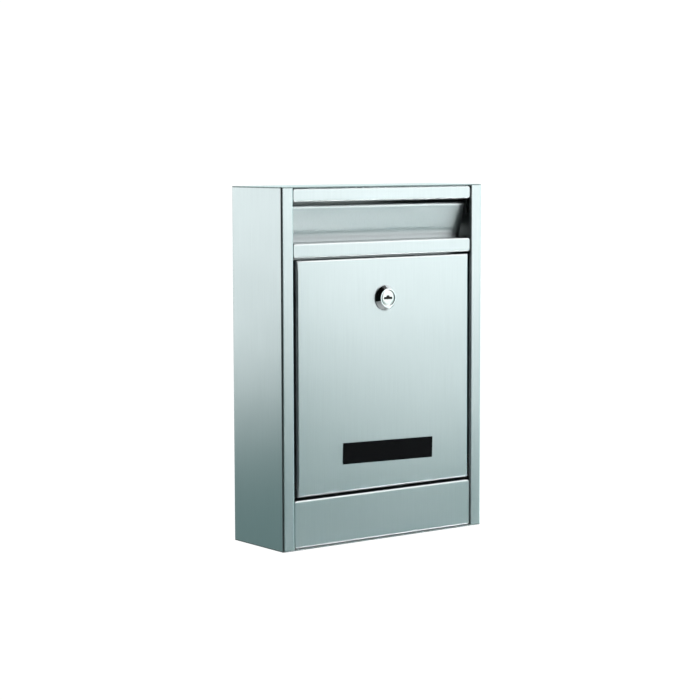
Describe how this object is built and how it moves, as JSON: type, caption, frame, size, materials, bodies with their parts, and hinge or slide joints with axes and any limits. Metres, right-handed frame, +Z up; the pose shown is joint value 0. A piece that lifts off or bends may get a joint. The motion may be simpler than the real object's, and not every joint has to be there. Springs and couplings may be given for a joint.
{
  "type": "wall mounted mailbox",
  "caption": "Slim upright wall mailbox in brushed stainless sheet, with an inward letter flap at the top, a lockable drop-down door and a plain black name plate.",
  "frame": {"origin": "centre of the four wall screw holes, on the back face that lies against the wall", "axes": "+X to the right for someone who faces the box, +Y into the wall, +Z up"},
  "size_m": [0.22, 0.0794, 0.31],
  "materials": {
    "brushed_stainless": "satin brushed, grain upright",
    "plain_stainless": "plain mill finish",
    "zinc_plated_steel": "bright zinc plate",
    "chrome_plate": "bright chrome",
    "lock_nickel": "satin nickel",
    "brass_wafer": "stamped brass",
    "black_nylon": "moulded black nylon",
    "black_plate": "smooth black",
    "black_rubber": "moulded rubber"
  },
  "bodies": {
    "casing": {"body_shell": "brushed_stainless", "door_bumpers": "black_rubber", "flap_bracket_left": "plain_stainless", "flap_bracket_right": "plain_stainless", "flap_rod": "plain_stainless", "flap_rod_clips": "zinc_plated_steel", "floor_panel": "brushed_stainless", "hinge_bracket_left": "plain_stainless", "hinge_bracket_right": "plain_stainless", "hinge_pin_left": "plain_stainless", "hinge_pin_right": "plain_stainless", "hinge_spacer_left": "black_nylon", "hinge_spacer_right": "black_nylon", "lower_fascia": "brushed_stainless", "mid_rail": "brushed_stainless", "top_panel": "brushed_stainless", "top_rail": "brushed_stainless"},
    "door": {"door_panel": "brushed_stainless", "lock_housing": "chrome_plate", "lock_nut": "zinc_plated_steel", "name_plate": "black_plate"},
    "lock_core": {"lock_plug": "lock_nickel", "lock_wafers": "brass_wafer", "lock_cam": "zinc_plated_steel", "cam_washer": "zinc_plated_steel", "cam_screw": "zinc_plated_steel"},
    "flap": {"letter_flap": "brushed_stainless"}
  },
  "joints": [
    {"name": "door_hinge", "type": "hinge", "parent": "casing", "child": "door", "pos_m": [0, -0.069, -0.1006], "axis": [1, 0, 0], "range_deg": [0, 120]},
    {"name": "lock_turn", "type": "hinge", "parent": "door", "child": "lock_core", "pos_m": [0, -0.06, 0.0574], "axis": [0, 1, 0], "range_deg": [0, 90]},
    {"name": "flap_hinge", "type": "hinge", "parent": "casing", "child": "flap", "pos_m": [0, -0.0638, 0.13672], "axis": [1, 0, 0], "range_deg": [0, 60]}
  ]
}
